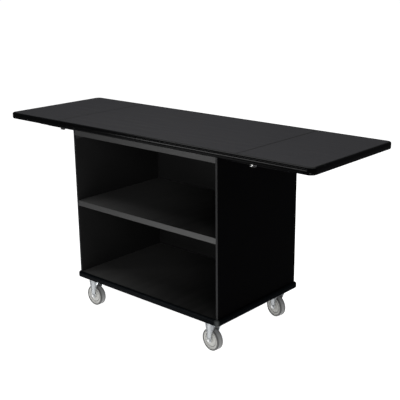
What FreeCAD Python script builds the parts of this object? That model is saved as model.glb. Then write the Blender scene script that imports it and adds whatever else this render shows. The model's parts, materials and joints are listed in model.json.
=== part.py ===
import FreeCAD, Part
import math
import os

from FreeCAD import Vector

# A drop-leaf service table: an open-fronted two-bay cabinet on four swivel casters, under a
# laminated top whose two end leaves fold down beside the cabinet.
# Millimetres.  +Z is up, -Y is the open front, X runs along the top, and the origin lies on
# the floor under the middle of the top.

os.makedirs("parts", exist_ok=True)

# ------------------------------------------------------------------ the three-panel top
overall_height = 947.0
top_thickness = 32.0
laminate_thickness = 1.0
top_depth = 610.0
centre_overhang = 106.0         # middle panel past each side of the cabinet
leaf_length = 374.0
seam_gap = 1.0
leaf_corner_radius = 28.0

moulding_proud = 10.0           # how far the edge moulding stands out of the board
moulding_round = 7.5
barb_depth = 8.0                # the moulding's tongue, pressed into a sawn slot
barb_thickness = 2.4
barb_clearance = 0.1
slot_spare = 0.6

# ------------------------------------------------------------------ the cabinet
cabinet_width = 912.0
cabinet_set_back = 17.0         # cabinet behind the front and rear edges of the top
side_thickness = 10.0
back_thickness = 12.0
base_thickness = 30.0
panel_housing = 6.0             # side and back panels stand this deep in the bottom board
shelf_thickness = 26.0
shelf_top_height = 558.0
rail_height = 28.0
rail_depth = 70.0
band_thickness = 1.0

bumper_proud = 13.0             # rubber strip round the bottom board
bumper_round = 9.0
bumper_corner_radius = 18.0

dowel_radius = 3.0
dowel_clearance = 0.1
dowel_in_edge = 22.0            # depth in the end of a board
dowel_in_face = 6.0             # depth in the face of a board
dowel_from_corner = 76.0
rail_dowel_spacing = 36.0

angle_reach = 45.0              # pressed angles under the two top rails
angle_drop = 18.0
angle_width = 46.0
angle_sheet = 2.5
angle_set_back = 7.0

# ------------------------------------------------------------------ the leaf hinges
hinge_from_edge = 125.0         # outer hinges, from the front and rear edges of the top
hinge_length = 60.0
hinge_plate_width = 30.0
hinge_plate_corner = 3.0
hinge_sheet = 2.0
hinge_barrel_radius = 3.7
hinge_pin_radius = 2.0
hinge_knuckle_length = 20.0
hinge_screw_radius = 2.2
hinge_screw_spacing = 36.0
running_clearance = 0.05        # round a pin in its bore
face_clearance = 0.3            # between faces that pass each other

# ------------------------------------------------------------------ the folding leaf stays
stay_from_edge = 74.0           # middle of the arm, from the front or rear edge of the top
stay_from_cabinet = 14.0        # side panel to the pivot under the middle panel
stay_outer_reach = 214.5        # hinge line to the pivot under the leaf
stay_link_length = 60.0
stay_pivot_depth = 14.0         # pivot below the underside of the top
stay_bar_width = 18.0
stay_bar_sheet = 3.0
stay_foot_length = 44.0
stay_foot_width = 22.0
stay_foot_sheet = 2.0
stay_screw_from_end = 7.0
stay_screw_from_side = 7.7
stay_ear_sheet = 2.5
stay_ear_radius = 9.0
stay_ear_root = 10.5            # half width of an ear where it leaves its foot
rivet_radius = 3.0
rivet_head_radius = 5.5
rivet_crown_radius = 3.3
rivet_head_height = 2.0
tab_from_pivot = 132.0          # zinc finger pull on the arm
tab_length = 34.0
tab_lip_length = 28.0
tab_drop = 5.0
tab_lap = 6.0
tab_sheet = 2.0

# ------------------------------------------------------------------ the casters
caster_height = 153.0
caster_from_side = 64.0
caster_from_front = 48.0
caster_trail = 8.0
front_left_turn = 0.0           # degrees from trailing straight along the table
front_right_turn = -7.0
rear_left_turn = -5.0
rear_right_turn = -12.0
caster_plate_length = 84.0
caster_plate_width = 64.0
caster_plate_sheet = 3.0
caster_plate_corner = 8.0
caster_bolt_spacing_x = 62.0
caster_bolt_spacing_y = 44.0
caster_bolt_radius = 3.3
race_top_radius = 29.0
race_bottom_radius = 25.0
race_height = 7.0
bearing_ring_inner = 17.0
bearing_ring_outer = 22.5
bearing_ring_height = 1.6
kingpin_radius = 5.0
kingpin_head_radius = 9.0
kingpin_crown_radius = 5.8
kingpin_head_height = 4.0

fork_sheet = 2.5
fork_bend_radius = 6.0
fork_crown_half_length = 28.0
fork_shoulder_height = 9.0      # straight part of a leg under the crown
fork_neck_drop = 62.0           # crown to where a leg is at its narrow width
fork_neck_half_width = 12.5
fork_foot_radius = 11.5
fork_flare_height = 6.0         # how far a leg's edges flare outwards under the crown
fork_flare_from_edge = 3.0      # neck's edge to the line where the flare starts
fork_hole_radius = 2.8
fork_hole_drop = 15.0

wheel_diameter = 104.0
tyre_width = 34.0
tyre_depth = 7.0
tyre_round = 5.0
hub_rim_depth = 3.0
hub_rim_width = 29.0
hub_web_thickness = 25.0
hub_boss_radius = 12.0
hub_fork_clearance = 0.5
hub_groove_radius = 32.5
hub_groove_width = 3.6
hub_groove_depth = 3.0
hub_groove_draft = 0.5
hub_draft = 1.5                 # slope of the boss and the rim where they meet the web
tyre_fork_clearance = 2.5
axle_radius = 4.0
bush_radius = 6.5
nut_across_flats = 13.0
nut_height = 6.0
axle_thread_end = 2.0

past = 1.0                      # a cutting shape runs this far past the face that it cuts
touch = 1e-6                    # places nearer than this are the same

# ------------------------------------------------------------------ worked-out places
top_underside = overall_height - top_thickness
laminate_underside = overall_height - laminate_thickness
half_width = cabinet_width / 2
half_centre = half_width + centre_overhang
seam_x = half_centre + seam_gap / 2
leaf_start = half_centre + seam_gap
leaf_end = leaf_start + leaf_length
half_top_depth = top_depth / 2

base_bottom = caster_height
base_top = base_bottom + base_thickness
panel_bottom = base_top - panel_housing
half_depth = half_top_depth - cabinet_set_back
inner_x = half_width - side_thickness
board_front = -half_depth + band_thickness
back_inner_y = half_depth - back_thickness
shelf_bottom = shelf_top_height - shelf_thickness
rail_bottom = top_underside - rail_height

hinge_z = top_underside - hinge_barrel_radius - face_clearance
hinge_y = half_top_depth - hinge_from_edge
stay_z = top_underside - stay_pivot_depth
stay_y = half_top_depth - stay_from_edge
stay_inner_x = half_width + stay_from_cabinet
stay_outer_x = seam_x + stay_outer_reach
stay_knee_x = stay_outer_x - stay_link_length
stay_arm_length = stay_knee_x - stay_inner_x

wheel_radius = wheel_diameter / 2
swivel_x = half_width - caster_from_side
swivel_y = half_depth - caster_from_front
plate_bottom = base_bottom - caster_plate_sheet
race_bottom = plate_bottom - race_height
crown_top = race_bottom - bearing_ring_height - face_clearance
crown_bottom = crown_top - fork_sheet
leg_inner_y = tyre_width / 2 + tyre_fork_clearance
leg_outer_y = leg_inner_y + fork_sheet

UP = Vector(0, 0, 1)
ALONG = Vector(1, 0, 0)
BACK = Vector(0, 1, 0)
ORIGIN = Vector(0, 0, 0)

nodes = {}


# ------------------------------------------------------------------ shape helpers
def block(x0, x1, y0, y1, z0, z1):
    return Part.makeBox(x1 - x0, y1 - y0, z1 - z0, Vector(x0, y0, z0))


def slab(x0, x1, y0, y1, z0, z1, radii=(0, 0, 0, 0)):
    """A flat board; radii belong to its corners, anticlockwise from low x, low y."""
    corners = ((x0, y0, 1, 1), (x1, y0, -1, 1), (x1, y1, -1, -1), (x0, y1, 1, -1))
    ends = []
    edges = []
    for number, ((x, y, in_x, in_y), radius) in enumerate(zip(corners, radii)):
        if radius <= 0:
            ends.append((Vector(x, y, z0), Vector(x, y, z0)))
            continue
        centre = Vector(x + in_x * radius, y + in_y * radius, z0)
        turns = [math.radians(180 + 90 * number + step) for step in (0, 45, 90)]
        arc = [centre + Vector(math.cos(a), math.sin(a), 0) * radius for a in turns]
        edges.append(Part.Arc(*arc).toShape())
        ends.append((arc[0], arc[2]))
    for number, (_, leave) in enumerate(ends):
        arrive = ends[(number + 1) % 4][0]
        edges.append(Part.LineSegment(leave, arrive).toShape())
    outline = Part.Wire(Part.__sortEdges__(edges))
    return Part.Face(outline).extrude(Vector(0, 0, z1 - z0))


def profile(points, y0, y1):
    """A polygon of (x, z) points, as thick as y0 to y1."""
    ring = [Vector(x, y0, z) for x, z in points]
    return Part.Face(Part.makePolygon(ring + ring[:1])).extrude(Vector(0, y1 - y0, 0))


def bar(x0, x1, z, half, y0, y1):
    """A flat bar along X with round ends, centred on the pivots x0 and x1."""
    low_left, low_right = Vector(x0, y0, z - half), Vector(x1, y0, z - half)
    top_left, top_right = Vector(x0, y0, z + half), Vector(x1, y0, z + half)
    edges = [
        Part.LineSegment(low_left, low_right).toShape(),
        Part.Arc(low_right, Vector(x1 + half, y0, z), top_right).toShape(),
        Part.LineSegment(top_right, top_left).toShape(),
        Part.Arc(top_left, Vector(x0 - half, y0, z), low_left).toShape(),
    ]
    return Part.Face(Part.Wire(edges)).extrude(Vector(0, y1 - y0, 0))


def turned(points, centre, axis_turn=None):
    """A solid of revolution from (radius, height) points, about Z unless it is laid down."""
    ring = [Vector(r, 0, h) for r, h in points]
    solid = Part.Face(Part.makePolygon(ring + ring[:1])).revolve(ORIGIN, UP, 360)
    if axis_turn:
        solid.rotate(ORIGIN, axis_turn, 90)
    solid.translate(centre)
    return solid


def cross_pin(radius, x, z, y0, y1):
    return Part.makeCylinder(radius, y1 - y0, Vector(x, y0, z), BACK)


def upright_pin(radius, x, y, z0, z1):
    return Part.makeCylinder(radius, z1 - z0, Vector(x, y, z0), UP)


def hexagon(across_flats, x, z, y0, y1):
    reach = across_flats / math.sqrt(3)
    corners = [math.radians(60 * step) for step in range(6)]
    return profile([(x + reach * math.cos(a), z + reach * math.sin(a)) for a in corners], y0, y1)


def flip_x(shape):
    return shape.mirror(ORIGIN, ALONG)


def flip_y(shape):
    return shape.mirror(ORIGIN, BACK)


def on_side(shape, side):
    return shape if side > 0 else flip_x(shape)


def front_and_rear(shape):
    """The front one as it is drawn, and its twin at the rear."""
    return [shape, flip_y(shape)]


def both_sides(shapes):
    return shapes + [flip_x(shape) for shape in shapes]


def group(shapes):
    return Part.makeCompound(shapes)


# ------------------------------------------------------------------ dowels of the cabinet
def dowel_places():
    """(start, direction, length) of each dowel of the right-hand half."""
    shelf_z = (shelf_bottom + shelf_top_height) / 2
    rail_z = (rail_bottom + top_underside) / 2
    reach = dowel_in_edge + dowel_in_face
    places = []
    for y in (-half_depth + dowel_from_corner, half_depth - dowel_from_corner):
        places.append((Vector(inner_x - dowel_in_edge, y, shelf_z), ALONG, reach))
        places.append((Vector(inner_x + side_thickness / 2, y, panel_bottom - dowel_in_face), UP, reach))
    for rail_y in (board_front + rail_depth / 2, back_inner_y - rail_depth / 2):
        for offset in (-rail_dowel_spacing / 2, rail_dowel_spacing / 2):
            places.append((Vector(inner_x - dowel_in_edge, rail_y + offset, rail_z), ALONG, reach))
    return places


def dowels(growth=0.0):
    pins = []
    for start, direction, length in dowel_places():
        base = start - direction * growth
        pins.append(Part.makeCylinder(dowel_radius + growth, length + 2 * growth, base, direction))
    return both_sides(pins)


DOWEL_HOLES = group(dowels(dowel_clearance))


# ------------------------------------------------------------------ panels of the top
def centre_outline(inset, z0, z1):
    reach = half_top_depth - inset
    return slab(-half_centre, half_centre, -reach, reach, z0, z1)


def leaf_outline(inset, z0, z1):
    reach = half_top_depth - inset
    corner = leaf_corner_radius - inset
    return slab(leaf_start, leaf_end - inset, -reach, reach, z0, z1, (0, corner, corner, 0))


def is_rim_edge(edge, seam_faces=()):
    """Whether an edge runs round the top or bottom rim, and not across a square seam face."""
    box = edge.BoundBox
    level = box.ZLength < touch
    in_seam = any(abs(box.XMin - x) < touch and abs(box.XMax - x) < touch for x in seam_faces)
    return level and not in_seam


def make_panel(outline, seam_faces):
    """Board, laminate and edge moulding of one panel of the top."""
    middle = (top_underside + overall_height) / 2
    half_barb = barb_thickness / 2
    slot_inset = moulding_proud + barb_depth + slot_spare
    slot_z = (middle - half_barb - barb_clearance, middle + half_barb + barb_clearance)
    slot = outline(moulding_proud, *slot_z).cut(outline(slot_inset, *slot_z))
    board = outline(moulding_proud, top_underside, laminate_underside).cut(slot)
    laminate = outline(moulding_proud, laminate_underside, overall_height)

    rim = outline(0, top_underside, overall_height)
    rim = rim.makeFillet(moulding_round, [e for e in rim.Edges if is_rim_edge(e, seam_faces)])
    rim = rim.cut(outline(moulding_proud, top_underside - past, overall_height + past))
    barb_z = (middle - half_barb, middle + half_barb)
    barb = outline(moulding_proud, *barb_z).cut(outline(moulding_proud + barb_depth, *barb_z))
    moulding = rim.fuse(barb).removeSplitter()
    return board, laminate, moulding


def make_top():
    board, laminate, moulding = make_panel(centre_outline, (-half_centre, half_centre))
    nodes["centre_board"] = board
    nodes["centre_laminate"] = laminate
    nodes["centre_edge_mouldings"] = moulding
    board, laminate, moulding = make_panel(leaf_outline, (leaf_start,))
    for name, side in (("left", -1), ("right", 1)):
        nodes[name + "_leaf_board"] = on_side(board, side)
        nodes[name + "_leaf_laminate"] = on_side(laminate, side)
        nodes[name + "_leaf_edge_moulding"] = on_side(moulding, side)


# ------------------------------------------------------------------ cabinet
def make_cabinet():
    base = block(-half_width, half_width, -half_depth, half_depth, base_bottom, base_top)
    wrap_x = half_width + bumper_proud
    wrap_y = half_depth + bumper_proud
    wrap_corners = (bumper_corner_radius,) * 4
    wrap = slab(-wrap_x, wrap_x, -wrap_y, wrap_y, base_bottom, base_top, wrap_corners)
    wrap = wrap.makeFillet(bumper_round, [e for e in wrap.Edges if is_rim_edge(e)])
    nodes["base_bumper"] = wrap.cut(base)

    side_housing = block(inner_x, half_width + past, -half_depth - past, half_depth + past,
                         panel_bottom, base_top + past)
    back_housing = block(-half_width, half_width, back_inner_y, half_depth + past,
                         panel_bottom, base_top + past)
    base = base.cut(group(both_sides([side_housing]))).cut(back_housing)
    nodes["bottom_board"] = base.cut(DOWEL_HOLES).removeSplitter()

    side = block(inner_x, half_width, board_front, half_depth, panel_bottom, top_underside)
    side = side.cut(DOWEL_HOLES)
    nodes["left_side_panel"] = on_side(side, -1)
    nodes["right_side_panel"] = side

    nodes["back_panel"] = block(-inner_x, inner_x, back_inner_y, half_depth, panel_bottom, top_underside)
    shelf = block(-inner_x, inner_x, board_front, back_inner_y, shelf_bottom, shelf_top_height)
    nodes["middle_shelf"] = shelf.cut(DOWEL_HOLES)
    for name, y in (("front", board_front), ("rear", back_inner_y - rail_depth)):
        rail = block(-inner_x, inner_x, y, y + rail_depth, rail_bottom, top_underside)
        nodes[name + "_top_rail"] = rail.cut(DOWEL_HOLES)

    face = (-half_depth, board_front)
    side_band = block(inner_x, half_width, *face, panel_bottom, top_underside)
    nodes["side_edge_bands"] = group(both_sides([side_band]))
    shelf_band = block(-inner_x, inner_x, *face, shelf_bottom, shelf_top_height)
    rail_band = block(-inner_x, inner_x, *face, rail_bottom, top_underside)
    nodes["shelf_and_rail_edge_bands"] = group([shelf_band, rail_band])
    nodes["cabinet_dowels"] = group(dowels())
    nodes["rail_angles"] = group(both_sides(rail_angles()))


def rail_angles():
    """Pressed angles with a gusset, under the rails against the right side panel."""
    corner_x, corner_z = inner_x, rail_bottom
    section = [
        (corner_x, corner_z), (corner_x - angle_reach, corner_z),
        (corner_x - angle_reach, corner_z - angle_sheet),
        (corner_x - angle_sheet, corner_z - angle_sheet),
        (corner_x - angle_sheet, corner_z - angle_drop), (corner_x, corner_z - angle_drop),
    ]
    web = [
        (corner_x - angle_sheet, corner_z - angle_sheet),
        (corner_x - angle_reach + angle_sheet, corner_z - angle_sheet),
        (corner_x - angle_sheet, corner_z - angle_drop + angle_sheet),
    ]
    angles = []
    for y in (-half_depth + angle_set_back, back_inner_y - angle_set_back - angle_width):
        web_y = y + (angle_width - angle_sheet) / 2
        angle = profile(section, y, y + angle_width).fuse(profile(web, web_y, web_y + angle_sheet))
        angles.append(angle.removeSplitter())
    return angles


# ------------------------------------------------------------------ leaf hinges
def hinge_half(middle_y, toward, knuckles):
    """One hinge half, its plate running from the pin towards -X or +X."""
    half = hinge_length / 2
    plate_z = (top_underside - hinge_sheet, top_underside)
    far = seam_x + toward * hinge_plate_width
    corner = hinge_plate_corner
    radii = (corner, 0, 0, corner) if toward < 0 else (0, corner, corner, 0)
    ends_x = sorted((far, seam_x))
    plate = slab(*ends_x, middle_y - half, middle_y + half, *plate_z, radii)
    room = seam_x + toward * (hinge_barrel_radius + face_clearance)
    room_x = sorted((room, seam_x - toward * past))
    for y0, y1 in gaps_between(knuckles, middle_y - half, middle_y + half):
        plate = plate.cut(block(*room_x, y0, y1, plate_z[0] - past, plate_z[1] + past))
    for y0, y1 in knuckles:
        plate = plate.fuse(cross_pin(hinge_barrel_radius, seam_x, hinge_z, y0, y1))
    bore = cross_pin(hinge_pin_radius + running_clearance, seam_x, hinge_z,
                     middle_y - half - past, middle_y + half + past)
    plate = plate.cut(bore)
    screw_x = (far + room) / 2
    for offset in (-hinge_screw_spacing / 2, hinge_screw_spacing / 2):
        plate = plate.cut(upright_pin(hinge_screw_radius, screw_x, middle_y + offset,
                                      plate_z[0] - past, plate_z[1] + past))
    return plate.removeSplitter()


def gaps_between(knuckles, start, end):
    """The stretches of a hinge that the other half's knuckles fill."""
    gaps = []
    reached = start
    for y0, y1 in knuckles:
        if y0 > reached:
            gaps.append((reached - (0 if reached > start else past), y0))
        reached = y1
    if reached < end:
        gaps.append((reached, end + past))
    return gaps


def make_hinges():
    half = hinge_length / 2
    split = hinge_knuckle_length / 2
    fixed, moving, pins = [], [], []
    for middle_y in (-hinge_y, 0.0, hinge_y):
        outer = [(middle_y - half, middle_y - split - face_clearance / 2),
                 (middle_y + split + face_clearance / 2, middle_y + half)]
        inner = [(middle_y - split + face_clearance / 2, middle_y + split - face_clearance / 2)]
        fixed.append(hinge_half(middle_y, -1, outer))
        moving.append(hinge_half(middle_y, 1, inner))
        pins.append(cross_pin(hinge_pin_radius, seam_x, hinge_z, middle_y - half, middle_y + half))
    nodes["hinge_fixed_halves"] = group(both_sides(fixed))
    nodes["hinge_pins"] = group(both_sides(pins))
    for name, side in (("left", -1), ("right", 1)):
        nodes[name + "_hinge_moving_halves"] = group([on_side(half, side) for half in moving])


# ------------------------------------------------------------------ folding leaf stays
# Each stay lies in a plane near the front or rear.  Layers count outwards from the middle of
# the arm, so the front stay is drawn towards -Y and its twin is a reflection.
def stay_layer(outwards):
    return -stay_y - outwards


def stay_foot(pivot_x, ear_from):
    """A screwed foot with one ear that carries a pivot."""
    foot_bottom = top_underside - stay_foot_sheet
    foot_x = (pivot_x - stay_ear_root, pivot_x - stay_ear_root + stay_foot_length)
    ear_y = (stay_layer(ear_from + stay_ear_sheet), stay_layer(ear_from))
    foot = slab(*foot_x, ear_y[0], ear_y[0] + stay_foot_width, foot_bottom, top_underside)
    low_left = Vector(pivot_x - stay_ear_radius, ear_y[0], stay_z)
    low_right = Vector(pivot_x + stay_ear_radius, ear_y[0], stay_z)
    tip = Vector(pivot_x, ear_y[0], stay_z - stay_ear_radius)
    top_left = Vector(pivot_x - stay_ear_root, ear_y[0], foot_bottom)
    top_right = Vector(pivot_x + stay_ear_root, ear_y[0], foot_bottom)
    edges = [
        Part.Arc(low_left, tip, low_right).toShape(),
        Part.LineSegment(low_right, top_right).toShape(),
        Part.LineSegment(top_right, top_left).toShape(),
        Part.LineSegment(top_left, low_left).toShape(),
    ]
    ear = Part.Face(Part.Wire(edges)).extrude(Vector(0, ear_y[1] - ear_y[0], 0))
    hole = cross_pin(rivet_radius + running_clearance, pivot_x, stay_z,
                     ear_y[0] - past, ear_y[1] + past)
    screw_y = ear_y[0] + stay_foot_width - stay_screw_from_side
    screws = [upright_pin(hinge_screw_radius, x, screw_y, foot_bottom - past, top_underside + past)
              for x in (foot_x[0] + stay_screw_from_end, foot_x[1] - stay_screw_from_end)]
    return foot.fuse(ear).cut(group([hole] + screws)).removeSplitter()


def rivet(pivot_x, outer, inner):
    """A rivet through an ear and a bar, with a head at each end."""
    shank = cross_pin(rivet_radius, pivot_x, stay_z, stay_layer(outer), stay_layer(inner))
    heads = [rivet_head(pivot_x, outer, 1), rivet_head(pivot_x, inner, -1)]
    return shank.fuse(heads).removeSplitter()


def rivet_head(pivot_x, layer, outwards):
    """A low tapered head that starts at a layer and stands outwards (1) or inwards (-1)."""
    start = Vector(pivot_x, stay_layer(layer), stay_z)
    facing = BACK * -outwards
    return Part.makeCone(rivet_head_radius, rivet_crown_radius, rivet_head_height, start, facing)


def make_stays():
    half_bar = stay_bar_sheet / 2
    half_width_of_bar = stay_bar_width / 2
    arm_y = (stay_layer(half_bar), stay_layer(-half_bar))
    link_outer = -half_bar - face_clearance
    link_y = (stay_layer(link_outer), stay_layer(link_outer - stay_bar_sheet))
    bore = rivet_radius + running_clearance

    fixed_ear = half_bar + face_clearance
    leaf_ear = link_outer + face_clearance
    fixed_foot = stay_foot(stay_inner_x, fixed_ear)
    leaf_foot = stay_foot(stay_outer_x, leaf_ear)
    fixed_rivet = rivet(stay_inner_x, fixed_ear + stay_ear_sheet, -half_bar - face_clearance)
    leaf_rivet = rivet(stay_outer_x, leaf_ear + stay_ear_sheet,
                       link_outer - stay_bar_sheet - face_clearance)

    # The knee is the pivot that the tree of joints leaves open: each bar carries the rivet
    # head of its own side, and nothing passes from one bar into the other.
    arm = bar(stay_inner_x, stay_knee_x, stay_z, half_width_of_bar, *arm_y)
    arm = arm.cut(cross_pin(bore, stay_inner_x, stay_z, arm_y[0] - past, arm_y[1] + past))
    arm = arm.fuse(rivet_head(stay_knee_x, half_bar, 1))
    link = bar(stay_knee_x, stay_outer_x, stay_z, half_width_of_bar, *link_y)
    link = link.cut(cross_pin(bore, stay_outer_x, stay_z, link_y[0] - past, link_y[1] + past))
    link = link.fuse(rivet_head(stay_knee_x, link_outer - stay_bar_sheet, -1))
    tab = finger_tab(half_bar)

    nodes["stay_fixed_feet"] = group(both_sides(front_and_rear(fixed_foot)))
    nodes["stay_fixed_rivets"] = group(both_sides(front_and_rear(fixed_rivet)))
    pieces = (("stay_leaf_feet", leaf_foot), ("stay_leaf_rivets", leaf_rivet),
              ("stay_arms", arm), ("stay_finger_tabs", tab), ("stay_links", link))
    for name, side in (("left", -1), ("right", 1)):
        for piece, shape in pieces:
            nodes[name + "_" + piece] = group([on_side(s, side) for s in front_and_rear(shape)])


def finger_tab(half_bar):
    """A folded tab on the arm's outer face; a finger pulls it to break the knee."""
    middle_x = stay_inner_x + tab_from_pivot
    bar_bottom = stay_z - stay_bar_width / 2
    root = tab_length / 2
    tip = tab_lip_length / 2
    lip_z = bar_bottom - tab_drop
    sheet_y = (stay_layer(half_bar + tab_sheet), stay_layer(half_bar))
    upright = profile([
        (middle_x - root, bar_bottom + tab_lap), (middle_x - root, bar_bottom),
        (middle_x - tip, lip_z), (middle_x + tip, lip_z),
        (middle_x + root, bar_bottom), (middle_x + root, bar_bottom + tab_lap),
    ], *sheet_y)
    lip = block(middle_x - tip, middle_x + tip, sheet_y[0] - tab_lap, sheet_y[1],
                lip_z, lip_z + tab_sheet)
    return upright.fuse(lip).removeSplitter()


# ------------------------------------------------------------------ casters
def caster_plate():
    half_x, half_y = caster_plate_length / 2, caster_plate_width / 2
    corners = (caster_plate_corner,) * 4
    plate = slab(-half_x, half_x, -half_y, half_y, plate_bottom, base_bottom, corners)
    cup = turned([(0, plate_bottom), (race_top_radius, plate_bottom),
                  (race_bottom_radius, race_bottom), (0, race_bottom)], ORIGIN)
    holes = [upright_pin(caster_bolt_radius, x, y, plate_bottom - past, base_bottom + past)
             for x in (-caster_bolt_spacing_x / 2, caster_bolt_spacing_x / 2)
             for y in (-caster_bolt_spacing_y / 2, caster_bolt_spacing_y / 2)]
    return plate.fuse(cup).cut(group(holes)).removeSplitter()


def bearing_ring():
    return turned([(bearing_ring_inner, race_bottom), (bearing_ring_outer, race_bottom),
                   (bearing_ring_outer, race_bottom - bearing_ring_height),
                   (bearing_ring_inner, race_bottom - bearing_ring_height)], ORIGIN)


def kingpin():
    neck = crown_bottom - face_clearance
    tip = neck - kingpin_head_height
    return turned([(0, race_bottom), (kingpin_radius, race_bottom), (kingpin_radius, neck),
                   (kingpin_head_radius, neck), (kingpin_crown_radius, tip), (0, tip)], ORIGIN)


def fork_channel():
    """The bent channel that a fork is pressed from, longer than the fork at both ends."""
    half = fork_crown_half_length + past
    foot_bottom = wheel_radius - fork_foot_radius
    outer = block(-half, half, -leg_outer_y, leg_outer_y, foot_bottom, crown_top)
    outer = outer.makeFillet(fork_bend_radius, long_edges_at(outer, crown_top))
    inner = block(-half - past, half + past, -leg_inner_y, leg_inner_y, foot_bottom - past, crown_bottom)
    inner = inner.makeFillet(fork_bend_radius - fork_sheet, long_edges_at(inner, crown_bottom))
    return outer.cut(inner)


def long_edges_at(shape, z):
    """The edges along X at one height."""
    boxes = [(edge, edge.BoundBox) for edge in shape.Edges]
    return [edge for edge, box in boxes if box.XLength > past and abs(box.ZMin - z) < touch]


def fork_outline():
    """A fork seen from its side: crown, shoulders, a neck, and legs that end in a round foot."""
    crown = fork_crown_half_length
    foot_x, foot_z = -caster_trail, wheel_radius
    shoulder, neck = crown_top - fork_shoulder_height, crown_top - fork_neck_drop
    start = -leg_outer_y - fork_flare_height - past
    corners = [(foot_x + fork_foot_radius, foot_z), (foot_x + fork_neck_half_width, neck),
               (crown, shoulder), (crown, crown_top + past),
               (-crown, crown_top + past), (-crown, shoulder),
               (foot_x - fork_neck_half_width, neck), (foot_x - fork_foot_radius, foot_z)]
    ring = [Vector(x, start, z) for x, z in corners]
    tip = Vector(foot_x, start, foot_z - fork_foot_radius)
    edges = [Part.LineSegment(a, b).toShape() for a, b in zip(ring, ring[1:])]
    edges.append(Part.Arc(ring[-1], tip, ring[0]).toShape())
    return Part.Face(Part.Wire(edges)).extrude(Vector(0, -2 * start, 0))


def fork_flares():
    """Wedges that widen each leg's edges outwards, from the neck up to the shoulder."""
    foot_x, foot_z = -caster_trail, wheel_radius
    height = crown_top - fork_shoulder_height - foot_z
    wedges = []
    for way in (-1, 1):
        fold_x = foot_x + way * (fork_neck_half_width - fork_flare_from_edge)
        end_x = way * (fork_crown_half_length + past)
        for side in (-1, 1):
            root, rim = side * (leg_outer_y - fork_sheet), side * (leg_outer_y + fork_flare_height)
            corners = [(fold_x, root), (end_x, root), (end_x, rim), (fold_x, side * leg_outer_y)]
            ring = [Vector(x, y, foot_z) for x, y in corners]
            wedges.append(Part.Face(Part.makePolygon(ring + ring[:1])).extrude(UP * height))
    return wedges


def fork():
    """Pressed steel fork: a channel with flared edges, trimmed to its outline and punched."""
    body = fork_channel().fuse(fork_flares()).common(fork_outline())
    through = (-leg_outer_y - fork_flare_height - past, leg_outer_y + fork_flare_height + past)
    holes = [cross_pin(axle_radius + running_clearance, -caster_trail, wheel_radius, *through),
             cross_pin(fork_hole_radius, -caster_trail, crown_top - fork_hole_drop, *through),
             upright_pin(kingpin_radius + running_clearance, 0, 0, crown_bottom - past, crown_top + past)]
    return body.cut(group(holes)).removeSplitter()


def axle_bolt():
    """A hexagon bolt from the front of the fork, with its nut at the rear."""
    x, z = -caster_trail, wheel_radius
    nut_start = leg_outer_y
    shank = cross_pin(axle_radius, x, z, -leg_outer_y, nut_start + nut_height + axle_thread_end)
    head = hexagon(nut_across_flats, x, z, -leg_outer_y - nut_height, -leg_outer_y)
    nut = hexagon(nut_across_flats, x, z, nut_start, nut_start + nut_height)
    bore_y = (nut_start - past, nut_start + nut_height + past)
    nut = nut.cut(cross_pin(axle_radius + running_clearance, x, z, *bore_y))
    return group([shank.fuse(head).removeSplitter(), nut])


def axle_bush():
    x, z = -caster_trail, wheel_radius
    tube = cross_pin(bush_radius, x, z, -leg_inner_y, leg_inner_y)
    bore_y = (-leg_inner_y - past, leg_inner_y + past)
    return tube.cut(cross_pin(axle_radius + running_clearance, x, z, *bore_y))


def hub():
    """Moulded hub: bushed boss, web with one groove a side, and the rim for the tyre."""
    bore = bush_radius + running_clearance
    seat = wheel_radius - tyre_depth
    boss = leg_inner_y - hub_fork_clearance
    web = hub_web_thickness / 2
    rim = hub_rim_width / 2
    rim_inner = seat - hub_rim_depth
    groove = (hub_groove_radius - hub_groove_width / 2, hub_groove_radius + hub_groove_width / 2)
    upper = [(bore, boss), (hub_boss_radius, boss), (hub_boss_radius + hub_draft, web),
             (groove[0], web), (groove[0] + hub_groove_draft, web - hub_groove_depth),
             (groove[1] - hub_groove_draft, web - hub_groove_depth), (groove[1], web),
             (rim_inner - hub_draft, web), (rim_inner, rim), (seat, rim)]
    lower = [(r, -h) for r, h in reversed(upper)]
    return turned(upper + lower, Vector(-caster_trail, 0, wheel_radius), ALONG)


def tyre():
    """Rubber tyre with a rounded tread."""
    seat = wheel_radius - tyre_depth
    half = tyre_width / 2
    ring = upright_pin(wheel_radius, 0, 0, -half, half)
    ring = ring.makeFillet(tyre_round, [e for e in ring.Edges if is_rim_edge(e)])
    ring = ring.cut(upright_pin(seat, 0, 0, -half - past, half + past))
    ring.rotate(ORIGIN, ALONG, 90)
    ring.translate(Vector(-caster_trail, 0, wheel_radius))
    return ring


def moved_to(shape, place, turn=0.0):
    moved = shape.copy()
    moved.rotate(ORIGIN, UP, turn)
    moved.translate(place)
    return moved


def make_casters():
    places = {"front_left": (Vector(-swivel_x, -swivel_y, 0), front_left_turn),
              "front_right": (Vector(swivel_x, -swivel_y, 0), front_right_turn),
              "rear_left": (Vector(-swivel_x, swivel_y, 0), rear_left_turn),
              "rear_right": (Vector(swivel_x, swivel_y, 0), rear_right_turn)}
    fixed = {"plates": caster_plate(), "bearing_rings": bearing_ring(), "kingpins": kingpin()}
    for piece, shape in fixed.items():
        nodes["caster_" + piece] = group([moved_to(shape, place) for place, turn in places.values()])
    moving = {"fork": fork(), "axle_bolt": axle_bolt(), "axle_bush": axle_bush(),
              "hub": hub(), "tyre": tyre()}
    for corner, (place, turn) in places.items():
        for piece, shape in moving.items():
            nodes[corner + "_" + piece] = moved_to(shape, place, turn)


make_top()
make_cabinet()
make_hinges()
make_stays()
make_casters()

for node, shape in nodes.items():
    shape.exportStep("parts/" + node + ".step")
print(len(nodes), "nodes,", sum(len(shape.Solids) for shape in nodes.values()), "solids")
print("stay arm", stay_arm_length, "link", stay_link_length, "crown bottom", round(crown_bottom, 2))
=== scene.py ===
import json
import math

import bpy
from mathutils import Matrix, Vector


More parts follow.
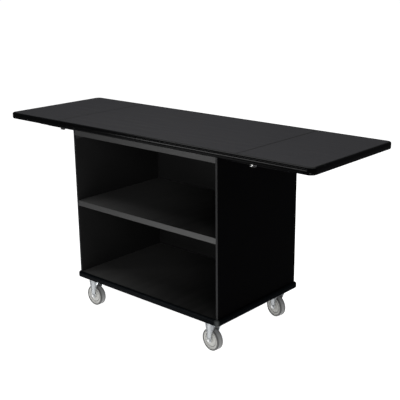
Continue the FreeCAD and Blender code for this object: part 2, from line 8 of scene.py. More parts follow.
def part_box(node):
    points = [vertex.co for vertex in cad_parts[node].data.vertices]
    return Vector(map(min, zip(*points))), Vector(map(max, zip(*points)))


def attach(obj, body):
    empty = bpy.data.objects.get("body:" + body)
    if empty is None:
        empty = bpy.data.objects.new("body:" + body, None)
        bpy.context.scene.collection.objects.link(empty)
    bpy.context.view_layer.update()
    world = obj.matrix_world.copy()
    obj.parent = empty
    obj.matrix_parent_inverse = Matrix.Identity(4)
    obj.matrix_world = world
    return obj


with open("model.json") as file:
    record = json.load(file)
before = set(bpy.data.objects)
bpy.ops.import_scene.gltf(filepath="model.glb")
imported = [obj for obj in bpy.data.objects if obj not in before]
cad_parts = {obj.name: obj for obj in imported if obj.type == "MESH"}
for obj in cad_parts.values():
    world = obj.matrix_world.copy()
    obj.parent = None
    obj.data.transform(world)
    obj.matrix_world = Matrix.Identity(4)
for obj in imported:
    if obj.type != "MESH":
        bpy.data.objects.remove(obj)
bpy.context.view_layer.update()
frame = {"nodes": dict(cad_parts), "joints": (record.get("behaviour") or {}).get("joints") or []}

nodes = frame["nodes"]

# ---------------------------------------------------------------- cabinet boards
# Sides, back, bottom, middle shelf and the two top rails: melamine-faced board cut to size and
# dowelled.  The outer faces of the sides are painted blacker than the inner faces, a painted shade;
# the shelf and the bottom board are painted paler towards the left, a painted pool of light, with
# streaks rubbed by trays slid in and out.


class Wire:
    """A value in a recipe. Plain maths on it adds the Math nodes."""

    def __init__(self, recipe, socket):
        self.recipe = recipe
        self.socket = socket

    def __add__(self, other):
        return self.recipe.maths("ADD", self, other)

    def __sub__(self, other):
        return self.recipe.maths("SUBTRACT", self, other)

    def __rsub__(self, other):
        return self.recipe.maths("SUBTRACT", other, self)

    def __mul__(self, other):
        return self.recipe.maths("MULTIPLY", self, other)

    def __truediv__(self, other):
        return self.recipe.maths("DIVIDE", self, other)

    __radd__ = __add__
    __rmul__ = __mul__


class Recipe:
    """A node tree for a finish or a shape. One method adds any node to it."""

    def __init__(self, tree):
        self.tree = tree

    def find(self, sockets, key):
        if isinstance(key, int):
            return sockets[key]
        if key is None:
            return next(s for s in sockets if s.enabled)
        return next(s for s in sockets if s.identifier == key or (s.enabled and s.name == key))

    def plug(self, socket, value):
        for one in value if isinstance(value, list) else [value]:
            if isinstance(one, Wire):
                self.tree.links.new(one.socket, socket)
            elif socket.type == "RGBA":
                socket.default_value = (*one, 1.0)
            else:
                socket.default_value = one

    def node(self, kind, settings=None, inputs=None, output=None):
        made = self.tree.nodes.new(kind)
        for name, value in (settings or {}).items():
            setattr(made, name, value)
        for key, value in (inputs or {}).items():
            self.plug(self.find(made.inputs, key), value)
        return Wire(self, self.find(made.outputs, output))

    def maths(self, operation, *values):
        return self.node("ShaderNodeMath", {"operation": operation}, dict(enumerate(values)))


class Finish(Recipe):
    """A material. Constants go straight on the shader's sockets."""

    def __init__(self, name, **constants):
        self.material = bpy.data.materials.new(name)
        self.material.use_nodes = True
        super().__init__(self.material.node_tree)
        self.shader = self.tree.nodes["Principled BSDF"]
        for key, value in constants.items():
            self.set(key.replace("_", " "), value)

    def set(self, key, value):
        self.plug(self.find(self.shader.inputs, key), value)

    def point(self, stretch=(1, 1, 1)):
        place = self.node("ShaderNodeTexCoord", output="Object")
        return self.node("ShaderNodeMapping", {"vector_type": "TEXTURE"}, {
            "Vector": place, "Scale": stretch})

    def axes(self, point):
        split = self.tree.nodes.new("ShaderNodeSeparateXYZ")
        self.plug(split.inputs[0], point)
        return [Wire(self, socket) for socket in split.outputs]

    def noise(self, point, scale, detail=2.0, roughness=0.5):
        return self.node("ShaderNodeTexNoise", None, {
            "Vector": point, "Scale": scale, "Detail": detail, "Roughness": roughness})

    def fade(self, value, start, end, low=0.0, high=1.0):
        return self.node("ShaderNodeMapRange", {"interpolation_type": "SMOOTHSTEP"}, {
            "Value": value, "From Min": start, "From Max": end, "To Min": low, "To Max": high})

    def blend(self, factor, first, second):
        return self.node("ShaderNodeMix", {"data_type": "RGBA"}, {
            "Factor_Float": factor, "A_Color": first, "B_Color": second}, "Result_Color")

    def magnitude(self, value):
        return self.maths("ABSOLUTE", value)

    def larger(self, first, second):
        return self.maths("MAXIMUM", first, second)

    def raise_by(self, height, distance, strength=1.0):
        bump = self.node("ShaderNodeBump", None, {
            "Height": height, "Distance": distance, "Strength": strength})
        self.set("Normal", bump)

    def on(self, *names):
        for name in names:
            nodes[name].material_slots[0].material = self.material


melamine = Finish("black_melamine", Specular_IOR_Level=0.04)
place = melamine.point()
pebble = melamine.noise(place, 850)
cloud = melamine.noise(place, 6, 3)
rubbed = melamine.fade(melamine.noise(melamine.point(stretch=(0.5, 0.5, 0.05)), 9, 4), 0.55, 0.75)
from_middle = melamine.magnitude(melamine.axes(place)[0])
outer_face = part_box("right_side_panel")[1][0]
# The outer faces of the side panels are painted near black against the inner faces: a painted shade.
painted_shade_outside = melamine.fade(from_middle, outer_face - 0.0008, outer_face - 0.0002)
inner_black = melamine.blend(cloud, (0.0112, 0.0112, 0.0112), (0.0146, 0.0146, 0.0147))
painted_shade_outer_black = melamine.blend(cloud, (0.0005, 0.0005, 0.0006), (0.0012, 0.0011, 0.0014))
melamine.set("Base Color", melamine.blend(painted_shade_outside, inner_black, painted_shade_outer_black))
melamine.set("Roughness", 0.38 + 0.10 * cloud + 0.08 * rubbed)
melamine.raise_by(pebble, 0.00012, 0.35)
melamine.on("left_side_panel", "right_side_panel", "back_panel", "front_top_rail", "rear_top_rail")

tray_wear_and_light = Finish("tray_worn_melamine", Specular_IOR_Level=0.10)
place = tray_wear_and_light.point()
slid = tray_wear_and_light.noise(tray_wear_and_light.point(stretch=(0.08, 0.7, 0.08)), 2.2, 4)
x, y, z = tray_wear_and_light.axes(place)
painted_light_dim_x, painted_light_bright_x = 0.30, -0.40
bottom_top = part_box("bottom_board")[1][2]
shelf_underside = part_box("middle_shelf")[0][2]
# Paler towards the left: a painted pool of light from the front right; the slid streaks are real wear.
painted_light_toward_left = tray_wear_and_light.fade(x, painted_light_dim_x, painted_light_bright_x)
# The bottom board gets less of both than the shelf: a painted shade.
share = tray_wear_and_light.fade(z, bottom_top, shelf_underside, 0.645, 1.0)
wear_and_painted_light = (0.12 * tray_wear_and_light.fade(slid, 0.30, 0.70) + 0.80 * painted_light_toward_left) * share
tray_wear_and_light.set("Base Color", tray_wear_and_light.blend(wear_and_painted_light, (0.0090, 0.0090, 0.0089), (0.0720, 0.0720, 0.0710)))
tray_wear_and_light.set("Roughness", 0.46 + 0.10 * wear_and_painted_light)
tray_wear_and_light.raise_by(tray_wear_and_light.noise(place, 1100), 0.00010, 0.3)
tray_wear_and_light.on("middle_shelf", "bottom_board")

# ---------------------------------------------------------------- dowels
# Plain beech dowels in the ends of the shelf and rails and the feet of the sides, glued where
# they sit.  They are hidden once the cabinet is together.

beech = Finish("plain_beech", Specular_IOR_Level=0.3)
flecks = beech.noise(beech.point(stretch=(0.02, 0.003, 0.003)), 6, 3)
beech.set("Base Color", beech.blend(flecks, (0.62, 0.43, 0.25), (0.47, 0.30, 0.16)))
beech.set("Roughness", 0.55 + 0.12 * flecks)
beech.raise_by(flecks, 0.0003, 0.4)
beech.on("cabinet_dowels")

# ---------------------------------------------------------------- cabinet edge bands
# The bands on the front edges: charcoal on the side panels, a paler grey on the shelf and the
# front rail.  Thin plastic strip, ironed on and trimmed flush, lightly rubbed along its length.
# Each band is painted darker towards the left and higher up under the top: painted shade.

half_length, painted_shade_from, painted_shade_full = 0.42, 0.30, 0.80


def edge_band(name, left, right, high, bands):
    band = Finish(name, Specular_IOR_Level=0.2)
    streaks = band.noise(band.point(stretch=(0.16, 1, 0.01)), 5, 4)
    grain = band.noise(band.point(), 700)
    x, y, z = band.axes(band.point())
    # Darker towards the left, and darker higher up under the overhang of the top: painted shade.
    shade = band.blend(band.fade(x, -half_length, half_length), left, right)
    painted_overhang_shade = band.fade(z, painted_shade_from, painted_shade_full, 0.0, high)
    band.set("Base Color", band.blend(0.25 * streaks + painted_overhang_shade, shade, (0.0, 0.0, 0.0)))
    band.set("Roughness", 0.42 + 0.12 * streaks + 0.06 * grain)
    band.raise_by(grain, 0.0001, 0.3)
    band.on(bands)


edge_band("charcoal_band", (0.0088, 0.0092, 0.0110), (0.022, 0.022, 0.023), 0.45, "side_edge_bands")
edge_band("grey_band", (0.050, 0.050, 0.050), (0.090, 0.090, 0.089), 0.48, "shelf_and_rail_edge_bands")

# ---------------------------------------------------------------- bumper
# A bull-nosed rubber extrusion wrapped round the bottom board and pinned from behind, to save
# walls and door frames.  Moulded black, with scuffs on its outermost line; its front right corner is
# painted pale, a painted highlight.

rubber = Finish("bumper_rubber", Specular_IOR_Level=0.05)
place = rubber.point()
skin = rubber.noise(place, 420, 3)
bloom = rubber.noise(place, 11, 4)
x, y, z = rubber.axes(place)
low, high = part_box("base_bumper")
middle_line = (low[2] + high[2]) / 2
right_end, front_face = high[0], low[1]
proudest = rubber.fade(rubber.magnitude(z - middle_line), 0.006, 0.0)
rubs = rubber.noise(rubber.point(stretch=(0.1, 0.1, 0.006)), 7, 5, 0.65)
scuffs = proudest * rubber.fade(rubs, 0.54, 0.70)
# The front right corner is painted pale: a painted highlight.
toward_corner = rubber.fade(x, right_end - 0.029, right_end - 0.007)
painted_corner_highlight = toward_corner * rubber.fade(y, front_face + 0.017, front_face - 0.001)
shade = rubber.blend(bloom, (0.0005, 0.0009, 0.0013), (0.0014, 0.0022, 0.0030))
shade = rubber.blend(0.5 * scuffs, shade, (0.022, 0.024, 0.026))
rubber.set("Base Color", rubber.blend(0.9 * painted_corner_highlight, shade, (0.055, 0.060, 0.060)))
rubber.set("Roughness", 0.24 + 0.12 * bloom + 0.25 * scuffs)
rubber.raise_by(skin + 0.5 * scuffs, 0.00012, 0.3)
rubber.on("base_bumper")

# ---------------------------------------------------------------- rail angles
# Four pressed steel angles with a gusset, powder-coated black, one in each upper corner, that tie
# the top rails to the side panels.  Black cross-head screws go up into the rail and out into the side.

powder = Finish("black_powder_coat", Specular_IOR_Level=0.4)
place = powder.point()
orange_peel = powder.noise(place, 380)
powder.set("Base Color", powder.blend(orange_peel, (0.0210, 0.0210, 0.0215), (0.0290, 0.0290, 0.0295)))
powder.set("Roughness", 0.34 + 0.12 * orange_peel)
powder.raise_by(orange_peel, 0.00015, 0.4)
powder.on("rail_angles")

zinc = Finish("bright_zinc", Metallic=0.75, Specular_IOR_Level=0.5)
place = zinc.point()
spangle = zinc.node("ShaderNodeTexVoronoi", None, {"Vector": place, "Scale": 260.0}, "Color")
cell = zinc.axes(spangle)[0]
haze = zinc.noise(place, 45, 4)
shade = zinc.blend(cell, (0.66, 0.69, 0.71), (0.80, 0.83, 0.85))
zinc.set("Base Color", zinc.blend(0.35 * haze, shade, (0.46, 0.47, 0.48)))
zinc.set("Roughness", 0.20 + 0.06 * cell + 0.14 * haze)
zinc.raise_by(zinc.noise(place, 500), 0.00006, 0.3)


class Shape(Recipe):
    """A Geometry Nodes tree with named inputs, run on a set of places to make plain meshes."""

    def __init__(self, name, sizes):
        super().__init__(bpy.data.node_groups.new(name, "GeometryNodeTree"))
        self.sizes = sizes
        face = self.tree.interface
        face.new_socket("Places", in_out="INPUT", socket_type="NodeSocketGeometry")
        for label, value in sizes.items():
            kind = "NodeSocketInt" if isinstance(value, int) else "NodeSocketFloat"
            face.new_socket(label, in_out="INPUT", socket_type=kind)
        face.new_socket("Finish", in_out="INPUT", socket_type="NodeSocketMaterial")
        face.new_socket("Fixings", in_out="OUTPUT", socket_type="NodeSocketGeometry")
        self.entry = self.tree.nodes.new("NodeGroupInput")
        self.exit = self.tree.nodes.new("NodeGroupOutput")

    def given(self, label):
        return Wire(self, self.find(self.entry.outputs, label))

    def raised(self, geometry, height):
        shift = self.node("ShaderNodeCombineXYZ", None, {"Z": height})
        return self.node("GeometryNodeTransform", None, {"Geometry": geometry, "Translation": shift})

    def set_out(self, one):
        """Puts one at every place, facing as the place says, each turned at random."""
        facing = self.node("GeometryNodeInputNamedAttribute", {"data_type": "FLOAT_VECTOR"}, {
            "Name": "facing"})
        aligned = self.node("FunctionNodeAlignRotationToVector", {"axis": "Z"}, {"Vector": facing})
        angle = self.node("FunctionNodeRandomValue", {"data_type": "FLOAT"}, {
            "Min_001": 0.0, "Max_001": math.pi, "Seed": self.given("Seed")}, "Value_001")
        spin = self.node("FunctionNodeAxisAngleToRotation", None, {"Axis": (0, 0, 1), "Angle": angle})
        turned = self.node("FunctionNodeRotateRotation", {"rotation_space": "LOCAL"}, {
            "Rotation": aligned, "Rotate By": spin})
        every = self.node("GeometryNodeInstanceOnPoints", None, {
            "Points": self.given("Places"), "Instance": one, "Rotation": turned})
        real = self.node("GeometryNodeRealizeInstances", None, {"Geometry": every})
        finished = self.node("GeometryNodeSetMaterial", None, {
            "Geometry": real, "Material": self.given("Finish")})
        self.plug(self.exit.inputs[0], finished)

    def make(self, name, body, slot, finish, places):
        """One plain mesh of all the places, riding on body. A place is (point, facing)."""
        mesh = bpy.data.meshes.new(name + "_places")
        mesh.from_pydata([point for point, facing in places], [], [])
        facings = mesh.attributes.new("facing", "FLOAT_VECTOR", "POINT")
        for item, (point, facing) in zip(facings.data, places):
            item.vector = facing
        piece = bpy.data.objects.new(name, mesh)
        bpy.context.scene.collection.objects.link(piece)
        modifier = piece.modifiers.new("shape", "NODES")
        modifier.node_group = self.tree
        values = {**self.sizes, "Finish": finish.material}
        for item in self.tree.interface.items_tree:
            if item.in_out == "INPUT" and item.name in values:
                modifier[item.identifier] = values[item.name]
        ready = piece.evaluated_get(bpy.context.evaluated_depsgraph_get())
        plain = bpy.data.meshes.new_from_object(ready)
        plain.name = name
        piece.modifiers.remove(modifier)
        piece.data = plain
        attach(piece, body)


screw = Shape("cross_head_screw", {
    "Head Radius": 0.0035, "Head Height": 0.0016, "Recess Length": 0.0044, "Recess Width": 0.0009,
    "Recess Depth": 0.0009, "Seed": 3})
dome = screw.node("GeometryNodeMeshCone", None, {
    "Vertices": 20, "Side Segments": 4, "Radius Top": screw.given("Head Radius") * 0.3,
    "Radius Bottom": screw.given("Head Radius"), "Depth": screw.given("Head Height")}, "Mesh")
position = screw.node("GeometryNodeInputPosition")
flat = screw.node("ShaderNodeVectorMath", {"operation": "MULTIPLY"}, {0: position, 1: (1, 1, 0)})
reach = screw.node("ShaderNodeVectorMath", {"operation": "LENGTH"}, {0: flat}, "Value")
share = reach / screw.given("Head Radius")
height = screw.given("Head Height") * (1.0 - share * share)
upright = screw.node("ShaderNodeCombineXYZ", None, {"Z": height})
crown = screw.node("ShaderNodeVectorMath", {"operation": "ADD"}, {0: flat, 1: upright})
dome = screw.node("GeometryNodeSetPosition", None, {"Geometry": dome, "Position": crown})
long = screw.given("Recess Length")
thin = screw.given("Recess Width")
deep = screw.given("Recess Depth") * 2.0
bars = []
for length, width in ((long, thin), (thin, long)):
    size = screw.node("ShaderNodeCombineXYZ", None, {"X": length, "Y": width, "Z": deep})
    bar = screw.node("GeometryNodeMeshCube", None, {"Size": size}, "Mesh")
    bars.append(screw.raised(bar, screw.given("Head Height")))
screw.set_out(screw.node("GeometryNodeMeshBoolean", {"operation": "DIFFERENCE"}, {
    "Mesh 1": dome, "Mesh 2": bars}, "Mesh"))

angle_width, angle_sheet = 0.046, 0.0025
screw_from_edge, screw_from_side, screw_drop = 0.011, 0.028, 0.0102
low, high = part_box("rail_angles")
inner_side, under_rail = high[0], high[2]
down = (0, 0, -1)
angle_screws = []
for side in (-1, 1):
    for start in (low[1], high[1] - angle_width):
        for across in (screw_from_edge, angle_width - screw_from_edge):
            into_rail = (side * (inner_side - screw_from_side), start + across, under_rail - angle_sheet)
            into_side = (side * (inner_side - angle_sheet), start + across, under_rail - screw_drop)
            angle_screws += [(into_rail, down), (into_side, (-side, 0, 0))]
screw.make("rail_angle_screws", "cabinet", "black_steel", powder, angle_screws)

# ---------------------------------------------------------------- the three-panel top
# A fixed middle panel and two drop leaves: boards faced with black satin laminate, darker at its
# cut edges and seams, and a black vinyl moulding with a rounded nose pressed into a slot all round.

laminate = Finish("satin_laminate", Specular_IOR_Level=0.3)
place = laminate.point()
suede = laminate.noise(place, 1300)
cloud = laminate.noise(place, 3.5, 3)
wiped = laminate.fade(laminate.noise(laminate.point(stretch=(1, 0.12, 1)), 4, 5), 0.45, 0.75)
x, y, z = laminate.axes(place)
leaf_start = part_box("right_leaf_laminate")[0][0]
leaf_end, half_depth, top_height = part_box("right_leaf_laminate")[1]
seam_x = (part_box("centre_laminate")[1][0] + leaf_start) / 2
from_middle = laminate.magnitude(x)
ends = laminate.fade(from_middle, leaf_end - 0.0060, leaf_end - 0.0008)
sides = laminate.fade(laminate.magnitude(y), half_depth - 0.0060, half_depth - 0.0008)
seam = laminate.fade(laminate.magnitude(from_middle - seam_x), 0.0062, 0.0040)
cut_edge = laminate.larger(laminate.larger(0.75 * ends, 0.75 * sides), seam)
shade = laminate.blend(cloud, (0.0120, 0.0116, 0.0141), (0.0130, 0.0127, 0.0146))
laminate.set("Base Color", laminate.blend(cut_edge, shade, (0.0010, 0.0010, 0.0010)))
laminate.set("Roughness", 0.44 + 0.08 * cloud - 0.05 * wiped)
laminate.raise_by(suede, 0.00008, 0.3)
laminate.on("centre_laminate", "left_leaf_laminate", "right_leaf_laminate")
melamine.on("centre_board", "left_leaf_board", "right_leaf_board")

moulding = Finish("vinyl_moulding", Specular_IOR_Level=0.10)
place = moulding.point()
top_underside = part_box("centre_board")[0][2]
half_nose = 0.0085
above_middle = moulding.axes(place)[2] - (top_underside + top_height) / 2
crowned = moulding.maths("MINIMUM", above_middle * above_middle, half_nose * half_nose)
drawn = moulding.noise(moulding.point(stretch=(1, 1, 0.01)), 8, 3)
nicks = moulding.fade(moulding.noise(place, 60, 4, 0.6), 0.66, 0.74)
moulding.set("Base Color", moulding.blend(nicks, (0.0006, 0.0006, 0.0007), (0.010, 0.010, 0.010)))
moulding.set("Roughness", 0.15 + 0.06 * drawn + 0.3 * nicks)
moulding.raise_by(0.00002 * drawn - 19.0 * crowned, 1.0)
moulding.on("centre_edge_mouldings", "left_leaf_edge_moulding", "right_leaf_edge_moulding")

# ---------------------------------------------------------------- leaf hinges
# Three zinc butt hinges a leaf, their barrels in the seam under the top, and cross-head screws
# up into the boards.  Each half carries two screws.

zinc.on("hinge_fixed_halves", "left_hinge_moving_halves", "right_hinge_moving_halves", "hinge_pins")
half_hinge, half_spacing, screw_from_seam = 0.030, 0.018, 0.017
plate_sheet, sunk = 0.0020, 0.0004
under_plates = top_underside - plate_sheet + sunk
outer_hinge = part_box("hinge_pins")[1][1] - half_hinge
hinge_screw_ys = [middle + offset for middle in (-outer_hinge, 0.0, outer_hinge)
                  for offset in (-half_spacing, half_spacing)]
screw.make("hinge_screws_cabinet", "cabinet", "zinc_steel", zinc, [
    ((side * (seam_x - screw_from_seam), y, under_plates), down)
    for side in (-1, 1) for y in hinge_screw_ys])
for side, leaf in ((-1, "left"), (1, "right")):
    screw.make(f"{leaf}_hinge_screws", f"{leaf}_leaf", "zinc_steel", zinc, [
        ((side * (seam_x + screw_from_seam), y, under_plates), down) for y in hinge_screw_ys])

# ---------------------------------------------------------------- folding leaf stays
# Two folding stays a leaf: arm and link of dull powder-coated steel on shouldered rivets, a
# screwed foot at each end, and a dark finger tab that breaks the knee so that the leaf can drop.
# The right leaf's tabs are painted bright zinc at the end: worn by fingers, and a painted glint as well.

dull = Finish("dull_powder_coat", Specular_IOR_Level=0.06)
grease = dull.noise(dull.point(stretch=(1, 0.3, 0.3)), 30, 4)
dull.set("Base Color", dull.blend(grease, (0.0020, 0.0020, 0.0022), (0.0060, 0.0060, 0.0062)))
dull.set("Roughness", 0.46 + 0.14 * grease)
dull.on("left_stay_arms", "right_stay_arms", "left_stay_links", "right_stay_links",
        "left_stay_leaf_feet", "right_stay_leaf_feet", "stay_fixed_feet", "stay_fixed_rivets",
        "left_stay_leaf_rivets", "right_stay_leaf_rivets")

tab = Finish("worn_finger_tab", Specular_IOR_Level=0.4)
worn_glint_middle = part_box("right_stay_finger_tabs")[0][0] + 0.0115
# Bright zinc patch at the end of the right tabs: wear and a painted glint.
worn_and_painted_glint = tab.fade(tab.magnitude(tab.axes(tab.point())[0] - worn_glint_middle), 0.0055, 0.0015)
tab.set("Base Color", tab.blend(worn_and_painted_glint, (0.030, 0.030, 0.031), (0.75, 0.75, 0.74)))
tab.set("Metallic", 0.5 * worn_and_painted_glint)
tab.set("Roughness", 0.42 - 0.12 * worn_and_painted_glint)
tab.on("left_stay_finger_tabs", "right_stay_finger_tabs")


def foot_screws(feet, sides):
    """Two screws in each foot of the stays: from its far end and side as the feet are drilled."""
    far_end, far_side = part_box(feet)[1][:2]
    near_screw, far_screw, from_side = 0.037, 0.007, 0.0143
    return [((side * (far_end - from_end), face * (far_side - from_side), under_plates), down)
            for side in sides for face in (-1, 1) for from_end in (near_screw, far_screw)]


screw.make("stay_foot_screws", "cabinet", "zinc_steel", zinc, foot_screws("stay_fixed_feet", (-1, 1)))
for side, leaf in ((-1, "left"), (1, "right")):
    screw.make(f"{leaf}_stay_foot_screws", f"{leaf}_leaf", "zinc_steel", zinc,
               foot_screws("right_stay_leaf_feet", (side,)))

# ---------------------------------------------------------------- casters
# Swivel casters: a pressed plate and race bolted under each corner, a zinc fork on a kingpin,
# and a pale nylon hub with a grooved face and a grey rubber tyre, on a bright bolted axle.
# The dark ring at the hub's groove and the tyre's darker shoulders are painted shade.

corners = [(f"{end}_{side}", sx, sy) for end, sy in (("front", -1), ("rear", 1))
           for side, sx in (("left", -1), ("right", 1))]
joint_of = {joint["child"]: joint for joint in frame["joints"]}
swivel_x, swivel_y, plate_top = joint_of["rear_right_swivel"]["pos_m"]
axle_height = joint_of["rear_right_wheel"]["pos_m"][2]
trail = 0.008
zinc.on("caster_plates", "caster_bearing_rings", "caster_kingpins")


def from_axle(finish):
    """Distance from the axle line of whichever wheel a point is on, and distance along it.

    The casters stand turned by 0 and -7 degrees in front and by -5 and -12 at the back.
    """
    x, y, z = finish.axes(finish.point())
    end = finish.maths("SIGN", x)
    face = finish.maths("SIGN", y)
    turn = math.radians(-6.0) + math.radians(-3.5) * end + math.radians(-2.5) * face
    cosine = finish.maths("COSINE", turn)
    sine = finish.maths("SINE", turn)
    away_x = x - swivel_x * end
    away_y = y - swivel_y * face
    across = cosine * away_x + sine * away_y + trail
    along = cosine * away_y - sine * away_x
    height = z - axle_height
    radius = finish.maths("SQRT", across * across + height * height)
    return radius, finish.magnitude(along)


def ring(finish, radius, middle, width):
    """1 on a ring of this middle radius, fading to 0 at half its width each way."""
    return finish.fade(finish.magnitude(radius - middle), width / 2, 0.0)


nylon = Finish("pale_nylon", Specular_IOR_Level=0.4)
place = nylon.point()
grime = nylon.noise(place, 70, 4)
# A dark ring at the groove in the hub's face: painted shade.
groove_radius, groove_shade_width = 0.0325, 0.0050
painted_groove_shade = ring(nylon, from_axle(nylon)[0], groove_radius, groove_shade_width)
shade = nylon.blend(grime, (0.53, 0.53, 0.505), (0.39, 0.39, 0.375))
nylon.set("Base Color", nylon.blend(0.9 * painted_groove_shade, shade, (0.10, 0.10, 0.097)))
nylon.set("Roughness", 0.40 + 0.16 * grime)
nylon.raise_by(nylon.noise(place, 350), 0.0001, 0.3)

tread = Finish("grey_tread_rubber", Specular_IOR_Level=0.3)
radius, side = from_axle(tread)
place = tread.point()
dust = tread.noise(place, 90, 5, 0.6)
tyre_radius = axle_height
hub_radius = tyre_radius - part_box("front_left_hub")[0][2]
# Paler on the crown, darkening towards both edges and darkest at the shoulders: painted shade where the
# tread rounds over.
crown_of_tread = tread.fade(side, 0.0120, 0.0030)
crown_of_tread *= tread.fade(radius, tyre_radius - 0.0040, tyre_radius - 0.0010)
joint = ring(tread, radius, hub_radius + 0.0008, 0.0034)
shade = tread.blend(dust, (0.150, 0.150, 0.147), (0.210, 0.210, 0.205))
shade = tread.blend(0.85 * joint, shade, (0.020, 0.020, 0.020))
shade = tread.blend(0.75 * crown_of_tread, shade, (0.270, 0.272, 0.272))
painted_shoulder_shade = tread.fade(side, 0.0095, 0.0135)
painted_shoulder_shade *= tread.fade(radius, tyre_radius - 0.0032, tyre_radius - 0.0014)
tread.set("Base Color", tread.blend(0.75 * painted_shoulder_shade, shade, (0.035, 0.035, 0.035)))
tread.set("Roughness", 0.60 + 0.2 * dust)
tread.raise_by(tread.noise(place, 300, 3), 0.0002, 0.4)

bolt_steel = Finish("bright_axle_bolt", Metallic=0.65)
scratched = bolt_steel.noise(bolt_steel.point(), 220, 3)
bolt_steel.set("Base Color", bolt_steel.blend(scratched, (0.97, 0.97, 0.97), (0.85, 0.86, 0.87)))
bolt_steel.set("Roughness", 0.16 + 0.14 * scratched)

for corner, sx, sy in corners:
    zinc.on(f"{corner}_fork", f"{corner}_axle_bush")
    bolt_steel.on(f"{corner}_axle_bolt")
    nylon.on(f"{corner}_hub")
    tread.on(f"{corner}_tyre")

bolt = Shape("hexagon_bolt_and_washer", {
    "Across Flats": 0.010, "Head Height": 0.0038, "Washer Radius": 0.0068, "Washer Height": 0.0012,
    "Seed": 11})
flats = bolt.given("Across Flats")
head = bolt.node("GeometryNodeMeshCylinder", None, {
    "Vertices": 6, "Radius": flats * 0.57735, "Depth": bolt.given("Head Height")}, "Mesh")
trim = bolt.node("GeometryNodeMeshCone", None, {
    "Vertices": 24, "Radius Top": flats * 0.47, "Radius Bottom": flats * 0.74,
    "Depth": bolt.given("Head Height")}, "Mesh")
head = bolt.raised(head, bolt.given("Head Height") / 2.0)
trimmed = bolt.node("GeometryNodeMeshBoolean", {"operation": "INTERSECT"}, {
    "Mesh 2": [head, trim]}, "Mesh")
washer = bolt.node("GeometryNodeMeshCylinder", None, {
    "Vertices": 24, "Radius": bolt.given("Washer Radius"), "Depth": bolt.given("Washer Height")}, "Mesh")
washer = bolt.raised(washer, bolt.given("Washer Height") / 2.0)
seated = bolt.raised(trimmed, bolt.given("Washer Height"))
bolt.set_out(bolt.node("GeometryNodeJoinGeometry", None, {"Geometry": [washer, seated]}))
caster_plate, bolt_x, bolt_y = 0.003, 0.031, 0.022
bolt.make("caster_plate_bolts", "cabinet", "zinc_steel", zinc, [
    ((sx * swivel_x + dx, sy * swivel_y + dy, plate_top - caster_plate), down)
    for corner, sx, sy in corners for dx in (-bolt_x, bolt_x) for dy in (-bolt_y, bolt_y)])

# ---------------------------------------------------------------- studio
# A plain pale floor, a broad soft light overhead and smaller ones before the open front, and four
# cards that only show as a sheen on the casters, the mouldings, the bumper and the undersides.
# The camera stands where the photograph was taken.

half_floor = 60.0
floor_mesh = bpy.data.meshes.new("studio_floor")
quarters = ((-1, -1), (1, -1), (1, 1), (-1, 1))
floor_corners = [(x * half_floor, y * half_floor, 0.0) for x, y in quarters]
floor_mesh.from_pydata(floor_corners, [], [(0, 1, 2, 3)])
floor = bpy.data.objects.new("studio_floor", floor_mesh)
bpy.context.scene.collection.objects.link(floor)
paper = Finish("floor_paper", Base_Color=(0.5, 0.5, 0.5), Roughness=0.9, Specular_IOR_Level=0.0,
               Emission_Color=(1.0, 1.0, 1.0), Emission_Strength=0.97)
floor_mesh.materials.append(paper.material)
floor.visible_glossy = False
floor.visible_shadow = False


def soft_light(name, place, target, size, watts):
    lamp = bpy.data.lights.new(name, "AREA")
    lamp.shape = "RECTANGLE"
    lamp.size, lamp.size_y = size
    lamp.energy = watts
    light = bpy.data.objects.new(name, lamp)
    light.location = place
    light.rotation_mode = "QUATERNION"
    light.rotation_quaternion = (Vector(target) - Vector(place)).to_track_quat("-Z", "Y")
    light.visible_camera = False
    bpy.context.scene.collection.objects.link(light)
    return light


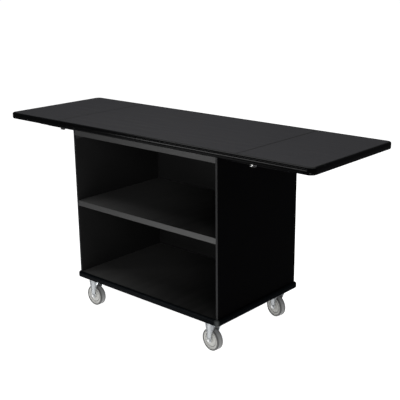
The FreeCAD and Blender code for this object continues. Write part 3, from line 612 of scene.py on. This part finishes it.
soft_light("overhead", (0.0, 0.3, 4.2), (0.0, 0.3, 0.0), (6.6, 4.4), 176)
soft_light("front_right", (2.30, -1.90, 1.35), (0.1, -0.3, 0.45), (0.9, 0.9), 20).visible_glossy = False
soft_light("front_fill", (0.2, -4.2, 1.2), (0.1, -0.3, 0.45), (2.0, 1.2), 42).visible_glossy = False
soft_light("front_left", (-2.40, -2.40, 0.75), (0.1, -0.3, 0.35), (0.4, 0.4), 26).visible_glossy = False
for card, place, target, size, watts in (
        ("caster_card", (-2.1, -1.8, -1.20), (0.0, -0.2, 0.08), (1.7, 1.0), 4.2),
        ("moulding_card", (-1.22, -2.50, 0.55), (0.4, -0.3, 0.93), (1.5, 0.44), 15.0),
        ("under_card", (0.0, 1.5, -2.3), (0.0, 0.0, 0.1), (1.6, 1.6), 46.0),
        ("corner_card", (1.64, -2.10, -1.05), (0.2, -0.3, 0.12), (1.0, 0.8), 15.0)):
    soft_light(card, place, target, size, watts).visible_diffuse = False

world = bpy.data.worlds.new("studio")
bpy.context.scene.world = world
world.use_nodes = True
room = Recipe(world.node_tree)
world.node_tree.nodes.clear()
seen = room.node("ShaderNodeLightPath", output="Is Camera Ray")
dim = room.node("ShaderNodeBackground", None, {"Color": (0.95, 0.97, 1.0), "Strength": 0.10})
bright = room.node("ShaderNodeBackground", None, {"Color": (1.0, 1.0, 1.0), "Strength": 1.1})
both = room.node("ShaderNodeMixShader", None, {0: seen, 1: dim, 2: bright})
outlet = world.node_tree.nodes.new("ShaderNodeOutputWorld")
room.plug(outlet.inputs["Surface"], both)

camera_place = Vector((2.54054, -2.73791, 1.68671))
camera_target = Vector((0.10288, 0.0, 0.59807))
camera_roll = math.radians(-0.59)
forward = (camera_target - camera_place).normalized()
level = forward.cross(Vector((0, 0, 1))).normalized()
sink = forward.cross(level)
right = math.cos(camera_roll) * level - math.sin(camera_roll) * sink
below = math.sin(camera_roll) * level + math.cos(camera_roll) * sink
camera_data = bpy.data.cameras.new("camera")
camera_data.sensor_width = 36.0
camera_data.lens = 72.320
camera = bpy.data.objects.new("camera", camera_data)
bpy.context.scene.collection.objects.link(camera)
turn = Matrix((right, -below, -forward)).transposed().to_4x4()
camera.matrix_world = Matrix.Translation(camera_place) @ turn
bpy.context.scene.camera = camera
bpy.context.scene.view_settings.view_transform = "Standard"
